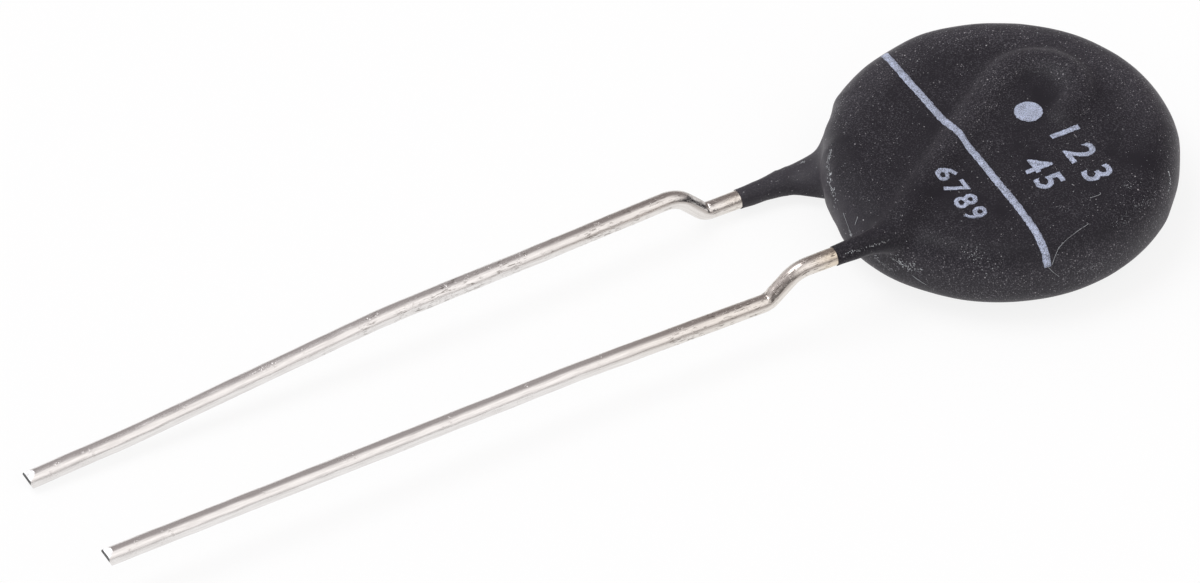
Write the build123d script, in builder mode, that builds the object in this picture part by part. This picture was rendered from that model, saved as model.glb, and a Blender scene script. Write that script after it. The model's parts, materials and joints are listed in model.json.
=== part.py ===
from build123d import *
import os
from dataclasses import dataclass
from math import asin, atan2, cos, degrees, radians, sin, sqrt

# A radial-lead disc thermistor. A ceramic disc has a fired silver electrode on each face, a tinned
# wire is soldered across each electrode, and one dipped coating covers all of it and runs out a
# little way along both wires. +X points from the wires to the disc and +Z is up. The part lies on
# the back of its disc, on Z = 0. All sizes are in millimetres.

# Ceramic disc and electrodes
ceramic_diameter = 14.0
ceramic_thickness = 1.85
ceramic_edge_chamfer = 0.25
electrode_thickness = 0.03
electrode_margin = 0.3

# Wires and the solder under them
wire_diameter = 0.8
solder_film = 0.05
solder_cover = 0.08
solder_half_width = 1.0
solder_start = 2.2
solder_tail = 0.3

# Where the two wires leave the disc
lead_pitch = 7.55
pair_offset = 0.76
neck_bend_inset = 0.4
neck_bend_radius = 2.0

# The hooked inner end of each wire, seen from the wire's own side of the disc
hook_corner_x = 3.15
hook_corner_y = 4.12
hook_radius = 1.8
hook_tail = 0.8

# The step that brings each wire from its face towards the middle plane
kink_run = 1.4
wide_bend_radius = 1.4
tight_bend_radius = 0.7

# The free stretch of each wire and its sheared tip
free_bend_radius = 40.0
tip_edge_height = 0.12
tip_shear_angle = 38.0

# Dipped coating: the disc's rim and faces
rim_coating = 0.87
face_coating = 0.66
crown_height = 0.12
rim_round = 1.5

# Dipped coating: the swelling over each wire, and its thin sleeve
ridge_cover = 0.25
ridge_half_width = 1.3
ridge_foot_depth = 0.2
ridge_foot_slope = 0.3
ridge_root = 0.8
ridge_start = 1.0
film_end = 0.035
film_sleeve = 0.09
film_taper = 0.5

# Dipped coating: the flare from each sleeve into the rim
flare_depth = 1.0
flare_rise = 0.1
flare_steps = 5


@dataclass(frozen=True)
class Lead:
    """One wire: its side of the disc and the sizes in which it differs from the other."""

    face: int
    across: float
    flare_length: float
    flare_width: float
    flare_drop: float
    flare_turn: float
    sleeve_length: float
    bare_length: float
    seat_level: float
    seat_bend_radius: float
    neck_side_bend_radius: float
    bends: tuple


# The flare of the coating widens by its width on each side, drops towards the other face and turns
# towards the middle by a share of the wire's own offset. The bare length runs from the end of the
# sleeve to the step, and the seat level is the height of the wire after the step. Each bend is a
# corner of the free stretch, given as its distance from the disc's middle, its shift across and
# its height above the disc's middle plane. The last one is the tip.
front = Lead(
    face=1,
    across=pair_offset - lead_pitch / 2,
    flare_length=1.3,
    flare_width=0.75,
    flare_drop=0.9,
    flare_turn=0.15,
    sleeve_length=2.4,
    bare_length=1.85,
    seat_level=0.17,
    seat_bend_radius=tight_bend_radius,
    neck_side_bend_radius=wide_bend_radius,
    bends=((22.0, 0.09, 0.17), (31.0, -0.09, 0.17), (45.3, -0.35, 0.17)),
)
back = Lead(
    face=-1,
    across=pair_offset + lead_pitch / 2,
    flare_length=2.0,
    flare_width=1.4,
    flare_drop=1.2,
    flare_turn=0.33,
    sleeve_length=3.8,
    bare_length=1.65,
    seat_level=0.12,
    seat_bend_radius=wide_bend_radius,
    neck_side_bend_radius=tight_bend_radius,
    bends=((21.0, -0.3, 0.1), (27.5, -0.39, -0.03), (40.0, -0.565, -1.31), (45.15, -0.59, -1.655)),
)

# Heights above the disc's middle plane
wire_radius = wire_diameter / 2
electrode_level = ceramic_thickness / 2 + electrode_thickness
wire_level = electrode_level + solder_film + wire_radius
face_level = electrode_level + face_coating
crest_level = wire_level + wire_radius + ridge_cover

# Place of the disc: the whole part is centred on X = 0 and rests on Z = 0
coated_radius = ceramic_diameter / 2 + rim_coating
lead_reach = max(front.bends[-1][0], back.bends[-1][0])
disc_centre = Vector((lead_reach - coated_radius) / 2, 0, crest_level)
disc_plane = Plane(origin=disc_centre)
disc_section = Plane(origin=disc_centre, x_dir=(1, 0, 0), z_dir=(0, -1, 0))


def rim_distance(lead):
    """Distance from the disc's middle to its rim, measured along the wire."""
    return sqrt(coated_radius**2 - lead.across**2)


def inner_points(lead):
    """Corners of the wire on the ceramic: the neck bend, the hook's two corners and the end."""
    side = -1 if lead.across > 0 else 1
    level = lead.face * wire_level
    neck_x = neck_bend_inset - rim_distance(lead)
    corner_y = side * hook_corner_y
    heading = atan2(corner_y - lead.across, hook_corner_x - neck_x)
    along_x, along_y = cos(heading), sin(heading)
    turned_x, turned_y = side * along_y, -side * along_x
    far_x = hook_corner_x + 2 * hook_radius * turned_x
    far_y = corner_y + 2 * hook_radius * turned_y
    back_run = hook_radius + hook_tail
    return [
        (neck_x, lead.across, level),
        (hook_corner_x, corner_y, level),
        (far_x, far_y, level),
        (far_x - back_run * along_x, far_y - back_run * along_y, level),
    ]


def free_points(lead):
    """Corners of the wire outside the coating, from the tip to the step beside the sleeve."""
    step_x = rim_distance(lead) + lead.sleeve_length + lead.bare_length
    points = [(-x, lead.across + shift, level) for x, shift, level in reversed(lead.bends)]
    points.append((-(step_x + kink_run), lead.across, lead.seat_level))
    points.append((-step_x, lead.across, lead.face * wire_level))
    return points


def lead_route(lead):
    """Centre line of the whole wire, from its tip to the end of its hook."""
    points = free_points(lead) + inner_points(lead)
    radii = [free_bend_radius] * (len(lead.bends) - 1)
    radii += [lead.seat_bend_radius, lead.neck_side_bend_radius]
    radii += [neck_bend_radius, hook_radius, hook_radius]
    with BuildLine(disc_plane) as route:
        FilletPolyline(*points, radius=radii)
    return route.wires()[0]


def hook_route(lead, start, tail):
    """Centre line of the wire on the ceramic, shortened by start and tail at its two ends."""
    neck, corner, far, end = (Vector(point) for point in inner_points(lead))
    first = neck + (corner - neck).normalized() * start
    last = end + (far - end).normalized() * tail
    corners = [tuple(point) for point in (first, corner, far, last)]
    with BuildLine(disc_plane) as route:
        FilletPolyline(*corners, radius=hook_radius)
    return route.wires()[0]


def crossing_plane(route, face, end):
    """Plane across one end of a route, with its Y axis pointing away from the disc."""
    heading = route % end
    outward = Vector(0, 0, face)
    return Plane(origin=route @ end, x_dir=outward.cross(heading), z_dir=heading)


def make_lead(lead):
    """A round wire swept along its route, sheared to a blunt wedge at the tip."""
    route = lead_route(lead)
    tilt = radians(tip_shear_angle)
    with BuildPart() as wire:
        with BuildSketch(Plane(origin=route @ 0, z_dir=route % 0)):
            Circle(wire_radius)
        sweep(path=route)
        for upward in (1, -1):
            edge = route @ 0 + Vector(0, 0, upward * tip_edge_height / 2)
            kept_side = Vector(sin(tilt), 0, -upward * cos(tilt))
            split(bisect_by=Plane(origin=edge, x_dir=(0, 1, 0), z_dir=kept_side), keep=Keep.TOP)
    return wire.part


def make_solder(lead, wire):
    """A low bead of solder that joins the wire to its electrode and follows the hook."""
    route = hook_route(lead, solder_start, solder_tail)
    base = -wire_radius - solder_film
    top = wire_radius + solder_cover
    with BuildPart() as bead:
        with BuildSketch(crossing_plane(route, lead.face, 0)):
            with BuildLine():
                ThreePointArc((-solder_half_width, base), (0, top), (solder_half_width, base))
                Line((solder_half_width, base), (-solder_half_width, base))
            make_face()
        sweep(path=route)
        add(wire, mode=Mode.SUBTRACT)
    return bead.part


def half_bell():
    """Outline of one half of the swelling over a wire, from its crest to its root in the disc."""
    rise = wire_radius + ridge_cover
    foot = face_level - ridge_foot_depth - wire_level
    root = foot - ridge_root
    with BuildSketch() as half:
        with BuildLine():
            flank = Spline(
                (0, rise),
                (ridge_half_width, foot),
                tangents=[(1, 0), (1, -ridge_foot_slope)],
            )
            Polyline(flank @ 1, (ridge_half_width, root), (0, root), flank @ 0)
        make_face()
    return half.sketch


def make_ridge(lead):
    """The long swelling where the coating covers a wire: a bell swept along it, round at its ends."""
    route = hook_route(lead, ridge_start, 0)
    with BuildPart() as ridge:
        with BuildSketch(crossing_plane(route, lead.face, 0)):
            add(half_bell())
            mirror(about=Plane.YZ)
        sweep(path=route)
        for end, turn in ((0, 180), (1, -180)):
            with BuildSketch(crossing_plane(route, lead.face, end)):
                add(half_bell())
            revolve(axis=Axis(route @ end, (0, 0, lead.face)), revolution_arc=turn)
    return ridge.part


def neck_plane(lead, distance, turn, shift):
    """Plane across the neck at a distance outside the rim, turned and shifted off the wire."""
    centre = Vector(
        -rim_distance(lead) - distance,
        lead.across * (1 - turn),
        lead.face * (wire_level + shift),
    )
    return Plane(origin=disc_centre + centre, x_dir=(0, 1, 0), z_dir=(1, 0, 0))


def make_neck(lead):
    """The coating's run-out along a wire: a thin sleeve that flares into the rim of the disc."""
    sleeve_radius = wire_radius + film_sleeve
    film_full = lead.sleeve_length - film_taper
    with BuildPart() as neck:
        with BuildSketch(neck_plane(lead, lead.sleeve_length, 0, 0)):
            Circle(wire_radius + film_end)
        with BuildSketch(neck_plane(lead, film_full, 0, 0)):
            Circle(sleeve_radius)
        loft()
        with BuildSketch(neck_plane(lead, film_full, 0, 0)):
            Circle(sleeve_radius)
        extrude(amount=film_full - lead.flare_length)
        for step in range(flare_steps + 1):
            share = step / flare_steps
            distance = lead.flare_length - share * (lead.flare_length + flare_depth)
            above = sleeve_radius + flare_rise * share**2
            below = sleeve_radius + lead.flare_drop * share**2
            shift = (above - below) / 2
            with BuildSketch(neck_plane(lead, distance, lead.flare_turn * share**2, shift)):
                Ellipse(sleeve_radius + lead.flare_width * share**2, (above + below) / 2)
        loft()
    return neck.part


with BuildPart() as ceramic_disc:
    with BuildSketch(disc_plane.offset(-ceramic_thickness / 2)):
        Circle(ceramic_diameter / 2)
    extrude(amount=ceramic_thickness)
    chamfer(ceramic_disc.edges().filter_by(GeomType.CIRCLE), ceramic_edge_chamfer)

with BuildPart() as front_electrode:
    with BuildSketch(disc_plane.offset(ceramic_thickness / 2)):
        Circle(ceramic_diameter / 2 - electrode_margin)
    extrude(amount=electrode_thickness)

with BuildPart() as back_electrode:
    with BuildSketch(disc_plane.offset(-ceramic_thickness / 2)):
        Circle(ceramic_diameter / 2 - electrode_margin)
    extrude(amount=-electrode_thickness)

front_lead = make_lead(front)
back_lead = make_lead(back)
front_solder = make_solder(front, front_lead)
back_solder = make_solder(back, back_lead)

# The coating's faces are slightly crowned and its rim is rounded. What it covers is cut from it.
crown_radius = (coated_radius**2 + crown_height**2) / (2 * crown_height)
crown_sweep = degrees(asin(coated_radius / crown_radius))
crown_drop = face_level + crown_height - crown_radius
with BuildPart() as coating:
    with BuildSketch(disc_section) as half_section:
        with BuildLine():
            upper = CenterArc((0, crown_drop), crown_radius, 90, -crown_sweep)
            lower = CenterArc((0, -crown_drop), crown_radius, -90, crown_sweep)
            Line(upper @ 1, lower @ 1)
            Line(upper @ 0, lower @ 0)
        make_face()
        fillet(half_section.vertices().group_by(Axis.X)[-1], rim_round)
    revolve(axis=Axis(disc_centre, (0, 0, 1)))
    for lead in (front, back):
        add(make_ridge(lead))
        add(make_neck(lead))
    for covered in (ceramic_disc, front_electrode, back_electrode):
        add(covered.part, mode=Mode.SUBTRACT)
    for covered in (front_solder, back_solder, front_lead, back_lead):
        add(covered, mode=Mode.SUBTRACT)

parts = {
    "coating": coating.part,
    "ceramic_disc": ceramic_disc.part,
    "front_electrode": front_electrode.part,
    "back_electrode": back_electrode.part,
    "front_solder": front_solder,
    "back_solder": back_solder,
    "front_lead": front_lead,
    "back_lead": back_lead,
}
os.makedirs("parts", exist_ok=True)
for name, solid in parts.items():
    solid.label = name
    export_step(solid, f"parts/{name}.step")
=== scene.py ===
"""Looks of a radial-lead disc thermistor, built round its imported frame.

A matte black dipped coating wraps a ceramic disc and runs out along two bright tinned wires. The
coating, the wires, the print and the lint are modelled here, and the inner pieces get finishes.
Lengths are written in millimetres, and MM turns them into the scene's metres.
"""
import json
import logging
import math
import random
from dataclasses import dataclass, field
from enum import Enum

import bmesh
import bpy
from bmesh.types import BMEdge, BMesh, BMVert
from mathutils import Matrix, Vector, noise
from mathutils.bvhtree import BVHTree

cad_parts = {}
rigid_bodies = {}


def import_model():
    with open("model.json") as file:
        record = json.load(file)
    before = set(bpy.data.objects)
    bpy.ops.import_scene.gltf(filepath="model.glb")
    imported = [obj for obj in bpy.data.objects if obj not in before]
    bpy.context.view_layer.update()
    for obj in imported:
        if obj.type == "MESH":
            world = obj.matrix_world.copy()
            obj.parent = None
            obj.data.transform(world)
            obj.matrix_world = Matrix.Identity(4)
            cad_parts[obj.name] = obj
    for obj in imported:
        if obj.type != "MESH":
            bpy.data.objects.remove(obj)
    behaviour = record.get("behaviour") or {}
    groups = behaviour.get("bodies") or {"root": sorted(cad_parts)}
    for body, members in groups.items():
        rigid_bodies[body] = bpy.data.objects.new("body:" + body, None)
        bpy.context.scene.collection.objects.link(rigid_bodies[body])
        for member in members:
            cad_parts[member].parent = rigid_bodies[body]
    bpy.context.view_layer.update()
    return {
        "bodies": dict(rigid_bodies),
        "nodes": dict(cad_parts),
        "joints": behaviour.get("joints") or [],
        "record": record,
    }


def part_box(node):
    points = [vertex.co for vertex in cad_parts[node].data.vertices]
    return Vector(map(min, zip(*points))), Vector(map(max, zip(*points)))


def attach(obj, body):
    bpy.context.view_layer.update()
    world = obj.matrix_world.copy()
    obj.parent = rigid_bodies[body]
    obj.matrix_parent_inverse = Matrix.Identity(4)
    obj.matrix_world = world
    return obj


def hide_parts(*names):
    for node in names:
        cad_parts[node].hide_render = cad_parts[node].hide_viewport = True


Socket = bpy.types.NodeSocket
Colour = tuple[float, float, float, float]
Point = tuple[float, float, float]
Span = tuple[float, float]

MM = 0.001
WELD = 0.001
DISC_RADIUS = 7.87
BODY = "root"
log = logging.getLogger("thermistor")


class Slot(Enum):
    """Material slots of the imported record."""

    COATING = "dipped_coating"
    WIRE = "tinned_wire"


class Face(Enum):
    """Side of the disc that a wire is soldered to, as the sign of its height."""

    FRONT = 1
    BACK = -1


# Shader building blocks


@dataclass
class NodeSheet:
    """Places and links nodes in one shader node tree."""

    tree: bpy.types.NodeTree

    def add(self, kind: str, **settings: object) -> bpy.types.Node:
        """Adds a node.

        Args:
            kind: Blender's type name of the node.
            settings: properties of the node, or what feeds its inputs, by name with spaces
                written as underscores.

        Returns:
            The new node.
        """
        node = self.tree.nodes.new(kind)
        for name, value in settings.items():
            if hasattr(node, name):
                setattr(node, name, value)
            else:
                self.fill(node, **{name: value})
        return node

    def fill(self, node: bpy.types.Node, **values: object) -> None:
        """Feeds inputs of a node by name, with spaces written as underscores."""
        for name, value in values.items():
            self.feed(value, node.inputs[name.replace("_", " ")])

    def link(self, source: Socket, target: Socket) -> None:
        """Joins two sockets."""
        self.tree.links.new(source, target)

    def feed(self, value: object, target: Socket) -> None:
        """Links a socket to the target, or sets a number or colour on it; None leaves it alone."""
        if isinstance(value, Socket):
            self.link(value, target)
        elif value is not None:
            target.default_value = value

    def math(self, operation: str, first: object, second: object = None) -> Socket:
        """Adds a Math node.

        Args:
            operation: Blender's name of the operation.
            first: a socket or a number.
            second: a socket, a number, or None for an operation on one value.

        Returns:
            The result's socket.
        """
        node = self.add("ShaderNodeMath", operation=operation)
        self.feed(first, node.inputs[0])
        self.feed(second, node.inputs[1])
        return node.outputs[0]

    def times(self, first: object, second: object) -> Socket:
        """Multiplies two values, each a socket or a number."""
        return self.math("MULTIPLY", first, second)

    def ramp(
        self, value: Socket, low: float, high: float, to_low: float = 0.0, to_high: float = 1.0
    ) -> Socket:
        """Maps a value smoothly from one range to another.

        Args:
            value: the socket that is mapped.
            low: start of the range read.
            high: end of the range read.
            to_low: result at the start.
            to_high: result at the end.

        Returns:
            The result's socket.
        """
        node = self.add("ShaderNodeMapRange", interpolation_type="SMOOTHSTEP", clamp=True)
        self.fill(node, Value=value, From_Min=low, From_Max=high, To_Min=to_low, To_Max=to_high)
        return node.outputs["Result"]

    def mix(self, share: object, first: object, second: object) -> Socket:
        """Mixes two colours.

        Args:
            share: a socket or a number, 0 for the first colour and 1 for the second.
            first: a socket or a colour.
            second: a socket or a colour.

        Returns:
            The mixed colour's socket.
        """
        node = self.add("ShaderNodeMix", data_type="RGBA")
        for place, value in ((0, share), (6, first), (7, second)):
            self.feed(value, node.inputs[place])
        return node.outputs[2]

    def noise(self, place: Socket, size: float, detail: float = 2.0, roughness: float = 0.5) -> Socket:
        """Adds a noise whose blobs are about a given size.

        Args:
            place: the coordinates that it reads, in metres.
            size: size of a blob, in millimetres.
            detail: number of finer layers.
            roughness: strength of the finer layers.

        Returns:
            The noise's value socket, from 0 to 1.
        """
        scale = 1.0 / (size * MM)
        node = self.add("ShaderNodeTexNoise", Vector=place, Scale=scale, Detail=detail, Roughness=roughness)
        return node.outputs["Fac"]

    def place(self) -> Socket:
        """Returns the piece's own coordinates, in metres."""
        return self.add("ShaderNodeTexCoord").outputs["Object"]

    def attribute(self, name: str, output: str = "Fac") -> Socket:
        """Returns one output of a named attribute of the mesh."""
        return self.add("ShaderNodeAttribute", attribute_name=name).outputs[output]

    def drawn_out(self, place: Socket, share: float) -> Socket:
        """Returns coordinates whose X counts by a share only, which draws blobs out to lines."""
        node = self.add("ShaderNodeMapping", vector_type="POINT", Vector=place, Scale=(share, 1.0, 1.0))
        return node.outputs["Vector"]

    def relief(self, shader: bpy.types.Node, height: Socket, strength: float, depth: float) -> None:
        """Gives a shader fine relief, with its depth in millimetres."""
        bump = self.add("ShaderNodeBump", Height=height, Strength=strength, Distance=depth * MM)
        self.fill(shader, Normal=bump.outputs["Normal"])


def grey(value: float, warmth: float = 0.0) -> Colour:
    """Returns a grey colour, with red raised and blue lowered by the warmth."""
    return (value * (1 + warmth), value, value * (1 - warmth), 1.0)


def speck_group() -> bpy.types.NodeTree:
    """Builds the group that scatters fine dust specks.

    Returns:
        A node group with inputs Vector, Scale, Speck and Share, and the output Mask.
    """
    name = "dust_specks"
    if name in bpy.data.node_groups:
        return bpy.data.node_groups[name]
    group = bpy.data.node_groups.new(name, "ShaderNodeTree")
    group.interface.new_socket("Vector", in_out="INPUT", socket_type="NodeSocketVector")
    for label, value in (("Scale", 1000.0), ("Speck", 0.2), ("Share", 0.2)):
        socket = group.interface.new_socket(label, in_out="INPUT", socket_type="NodeSocketFloat")
        socket.default_value = value
    group.interface.new_socket("Mask", in_out="OUTPUT", socket_type="NodeSocketFloat")
    sheet = NodeSheet(group)
    given = sheet.add("NodeGroupInput").outputs
    outlet = sheet.add("NodeGroupOutput")
    cells = sheet.add("ShaderNodeTexVoronoi", feature="F1", Vector=given["Vector"], Scale=given["Scale"])
    chosen = sheet.add("ShaderNodeSeparateColor", Color=cells.outputs["Color"])
    present = sheet.math("LESS_THAN", chosen.outputs["Red"], given["Share"])
    radius = sheet.times(given["Speck"], chosen.outputs["Green"])
    inside = sheet.math("SUBTRACT", radius, cells.outputs["Distance"])
    soft = sheet.ramp(inside, 0.0, 0.06)
    sheet.link(sheet.times(soft, present), outlet.inputs["Mask"])
    return group


def specks(sheet: NodeSheet, place: Socket, spacing: float, speck: float, share: Socket) -> Socket:
    """Adds a layer of dust specks to a material.

    Args:
        sheet: the material's node sheet.
        place: the coordinates that it reads, in metres.
        spacing: distance between places for a speck, in millimetres.
        speck: largest radius of a speck, as a share of the spacing.
        share: share of the places that hold a speck.

    Returns:
        The mask's socket.
    """
    node = sheet.add("ShaderNodeGroup", node_tree=speck_group())
    sheet.fill(node, Vector=place, Scale=1.0 / (spacing * MM), Speck=speck, Share=share)
    return node.outputs["Mask"]


def new_material(name: str) -> tuple[bpy.types.Material, NodeSheet, bpy.types.Node]:
    """Starts a material.

    Args:
        name: the material's name.

    Returns:
        The material, its node sheet and its Principled shader.
    """
    material = bpy.data.materials.new(name)
    material.use_nodes = True
    shader = next(n for n in material.node_tree.nodes if n.type == "BSDF_PRINCIPLED")
    return material, NodeSheet(material.node_tree), shader


# Finishes


@dataclass(frozen=True)
class DippedFinish:
    """Matte black dipped coating with fine grain, pale dust and a pale veil that is partly painted sheen.
    """

    base: Colour = (0.0105, 0.009, 0.0135, 1.0)
    # Pale tone of the dust, which also paints the veil's sheen.
    dust_and_sheen: Colour = (0.12, 0.115, 0.13, 1.0)
    speck: Colour = (0.38, 0.37, 0.39, 1.0)

    def material(self) -> bpy.types.Material:
        """Builds the material.

        Returns:
            A material that reads Object coordinates and the attributes dust and haze, of which the second
            is a pale veil that is partly painted sheen where light grazes.
        """
        material, sheet, shader = new_material("dipped_black")
        place = sheet.place()
        dust = sheet.attribute("dust")
        cloud = sheet.noise(place, 1.3, 4.0, 0.6)
        grain = sheet.noise(place, 0.065, 2.0, 0.7)
        drift = sheet.times(sheet.ramp(cloud, 0.35, 0.7, 0.1, 0.3), sheet.ramp(dust, 0.0, 0.2))
        amount = sheet.math("ADD", drift, sheet.times(dust, 0.8))
        powder = sheet.times(sheet.ramp(grain, 0.47, 0.72), amount)
        # Painted sheen: a smooth pale veil where light grazes the rim wall, far top, neck and crest, along
        # with pale dust.
        haze_and_sheen_veil = sheet.times(sheet.attribute("haze_and_sheen"), sheet.ramp(cloud, 0.2, 0.8, 0.6, 1.0))
        colour = sheet.mix(haze_and_sheen_veil, self.base, self.dust_and_sheen)
        colour = sheet.mix(powder, colour, self.dust_and_sheen)
        strong = sheet.times(amount, amount)
        fine = specks(sheet, place, 0.085, 0.38, sheet.times(strong, 0.55))
        coarse = specks(sheet, place, 0.24, 0.19, sheet.times(strong, 0.5))
        marks = sheet.math("MAXIMUM", sheet.times(fine, 0.6), coarse)
        colour = sheet.mix(marks, colour, self.speck)
        sheet.fill(shader, Base_Color=colour, Roughness=sheet.ramp(cloud, 0.2, 0.8, 0.45, 0.6))
        sheet.fill(shader, Specular_IOR_Level=0.2, Sheen_Weight=0.1, Sheen_Roughness=0.3)
        sheet.fill(shader, Sheen_Tint=(1.0, 0.93, 1.0, 1.0))
        sheet.relief(shader, sheet.math("ADD", grain, sheet.times(marks, 1.2)), 0.35, 0.02)
        return material


@dataclass(frozen=True)
class InkFinish:
    """Pale printing ink, thin enough for pinholes of the coating to show."""

    ink: Colour = (0.5, 0.56, 0.73, 1.0)
    hole: Colour = (0.14, 0.15, 0.19, 1.0)

    def material(self) -> bpy.types.Material:
        """Builds the material, which reads Object coordinates."""
        material, sheet, shader = new_material("pale_ink")
        place = sheet.place()
        grain = sheet.noise(place, 0.045, 2.0, 0.6)
        blotch = sheet.noise(place, 0.4, 2.0)
        holes = sheet.math("ADD", grain, sheet.times(blotch, 0.25))
        colour = sheet.mix(sheet.ramp(holes, 0.48, 0.78), self.ink, self.hole)
        sheet.fill(shader, Base_Color=colour, Roughness=sheet.ramp(grain, 0.3, 0.7, 0.45, 0.7))
        sheet.relief(shader, grain, 0.3, 0.01)
        return material


@dataclass(frozen=True)
class LintFinish:
    """Pale lint, dust flakes and scuffs."""

    tone: float = 0.5

    def material(self) -> bpy.types.Material:
        """Builds the material, which reads Object coordinates."""
        material, sheet, shader = new_material("pale_lint")
        patch = sheet.noise(sheet.place(), 0.5, 2.0)
        dark = grey(self.tone * 0.45, -0.04)
        colour = sheet.mix(sheet.ramp(patch, 0.3, 0.7), dark, grey(self.tone, -0.05))
        sheet.fill(shader, Base_Color=colour, Roughness=sheet.ramp(patch, 0.3, 0.7, 0.6, 0.85))
        return material


@dataclass(frozen=True)
class TinnedFinish:
    """Bright tinned wire with drawn lines, pits, brown tarnish that also paints shade on the wire's top,
    and a golden end at the coating.
    """

    bright: Colour = (0.85, 0.832, 0.825, 1.0)
    dull: Colour = (0.55, 0.52, 0.51, 1.0)
    golden: Colour = (0.7, 0.58, 0.42, 1.0)
    # Brown tarnish, also painted shade: it darkens the top of the wire, more so toward the step.
    stained_and_shaded: Colour = (0.34, 0.29, 0.265, 1.0)
    scratch: Colour = (0.12, 0.10, 0.085, 1.0)

    def material(self) -> bpy.types.Material:
        """Builds the material.

        Returns:
            A material that reads the attributes straight, which is the place on the unbent wire, golden,
            stained, which is brown tarnish with painted shade on the wire's top, and worn.
        """
        material, sheet, shader = new_material("tinned_bright")
        straight = sheet.attribute("straight", "Vector")
        wear = sheet.attribute("worn")
        lines = sheet.noise(sheet.drawn_out(straight, 0.06), 0.07, 3.0, 0.6)
        patch = sheet.noise(straight, 0.9, 3.0)
        worn = sheet.ramp(sheet.math("ADD", patch, sheet.times(wear, 0.2)), 0.54, 0.72)
        pits = sheet.noise(straight, 0.16, 3.0, 0.6)
        rough_spots = sheet.times(sheet.ramp(pits, 0.52, 0.72), worn)
        scores = sheet.noise(sheet.drawn_out(straight, 0.16), 0.06, 2.0, 0.5)
        scratches = sheet.times(sheet.ramp(scores, 0.575, 0.66), worn)
        colour = sheet.mix(sheet.ramp(lines, 0.35, 0.7, 0.0, 0.35), self.bright, self.dull)
        colour = sheet.mix(sheet.times(rough_spots, 0.5), colour, self.dull)
        colour = sheet.mix(sheet.attribute("golden"), colour, self.golden)
        # Painted shade with tarnish: the wire's top and upper side darker, more so toward the step.
        colour = sheet.mix(sheet.times(sheet.attribute("stained_and_shaded"), 0.8), colour, self.stained_and_shaded)
        colour = sheet.mix(sheet.times(scratches, sheet.times(wear, 0.85)), colour, self.scratch)
        polish = sheet.ramp(lines, 0.3, 0.7, 0.16, 0.26)
        roughness = sheet.math("ADD", polish, sheet.times(rough_spots, 0.2))
        sheet.fill(shader, Base_Color=colour, Metallic=1.0, Roughness=roughness)
        sheet.relief(shader, sheet.math("SUBTRACT", lines, sheet.times(rough_spots, 1.2)), 0.5, 0.012)
        return material


@dataclass(frozen=True)
class PlainFinish:
    """Finish of an inner piece: two tones in a mottled pattern."""

    name: str
    light: Colour
    dark: Colour
    metallic: float
    roughness: Span
    grain: float

    def material(self) -> bpy.types.Material:
        """Builds the material, which reads Object coordinates."""
        material, sheet, shader = new_material(self.name)
        grain = sheet.noise(sheet.place(), self.grain, 4.0, 0.6)
        colour = sheet.mix(sheet.ramp(grain, 0.3, 0.7), self.dark, self.light)
        roughness = sheet.ramp(grain, 0.3, 0.7, *self.roughness)
        sheet.fill(shader, Base_Color=colour, Metallic=self.metallic, Roughness=roughness)
        sheet.relief(shader, grain, 0.4, 0.01)
        return material


# Lit and shaded copies of the sheared metal: the light one is painted light and the dark one, on the end
# cut, is painted shade.
SHEARED_FINISHES = (
    PlainFinish("sheared_painted_light", grey(0.95), grey(0.8), 1.0, (0.16, 0.3), 0.12),
    PlainFinish("sheared_painted_shade", grey(0.17), grey(0.06), 1.0, (0.35, 0.5), 0.06),
)
SIDES = ("front", "back")
SILVER = (grey(0.82, 0.02), grey(0.66, 0.03), 1.0, (0.3, 0.5), 0.1)
SOLDER = (grey(0.75), grey(0.55), 1.0, (0.2, 0.4), 0.3)
INNER_FINISHES = {
    "ceramic_disc": PlainFinish("ceramic_grey", grey(0.12), grey(0.07), 0.0, (0.55, 0.75), 0.12),
    **{f"{side}_electrode": PlainFinish(f"silver_{side}", *SILVER) for side in SIDES},
    **{f"{side}_solder": PlainFinish(f"solder_{side}", *SOLDER) for side in SIDES},
}


# Mesh tools


def add_object(name: str, data: bpy.types.ID) -> bpy.types.Object:
    """Adds an object with the given data to the scene."""
    thing = bpy.data.objects.new(name, data)
    bpy.context.scene.collection.objects.link(thing)
    return thing


def to_mesh(name: str, bm: BMesh) -> bpy.types.Mesh:
    """Turns a bmesh into a mesh and frees it."""
    mesh = bpy.data.meshes.new(name)
    bm.to_mesh(mesh)
    bm.free()
    return mesh


def add_mesh(bm: BMesh, mesh: bpy.types.Mesh) -> None:
    """Adds a mesh to a bmesh and removes the mesh."""
    bm.from_mesh(mesh)
    bpy.data.meshes.remove(mesh)


def evaluated_mesh(holder: bpy.types.Object) -> bpy.types.Mesh:
    """Returns the mesh that an object shows, and removes the object."""
    graph = bpy.context.evaluated_depsgraph_get()
    mesh = bpy.data.meshes.new_from_object(holder.evaluated_get(graph))
    bpy.data.objects.remove(holder)
    return mesh


def pick(items: list, kind: type) -> list:
    """Returns the items of one kind among those that a mesh operator gives back."""
    return [item for item in items if isinstance(item, kind)]


def extend(bm: BMesh, edges: list[BMEdge]) -> tuple[list[BMVert], list[BMEdge]]:
    """Extrudes edges on the spot and returns the new vertices and edges."""
    grown = bmesh.ops.extrude_edge_only(bm, edges=edges)["geom"]
    return pick(grown, BMVert), pick(grown, BMEdge)


def cut_off(bm: BMesh, place: Vector, outward: Point) -> list[BMEdge]:
    """Cuts away a mesh on the outward side of a plane and returns the edges of the cut."""
    parts = bm.verts[:] + bm.edges[:] + bm.faces[:]
    cut = bmesh.ops.bisect_plane(bm, geom=parts, plane_co=place, plane_no=outward, clear_outer=True)
    return pick(cut["geom_cut"], BMEdge)


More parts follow.
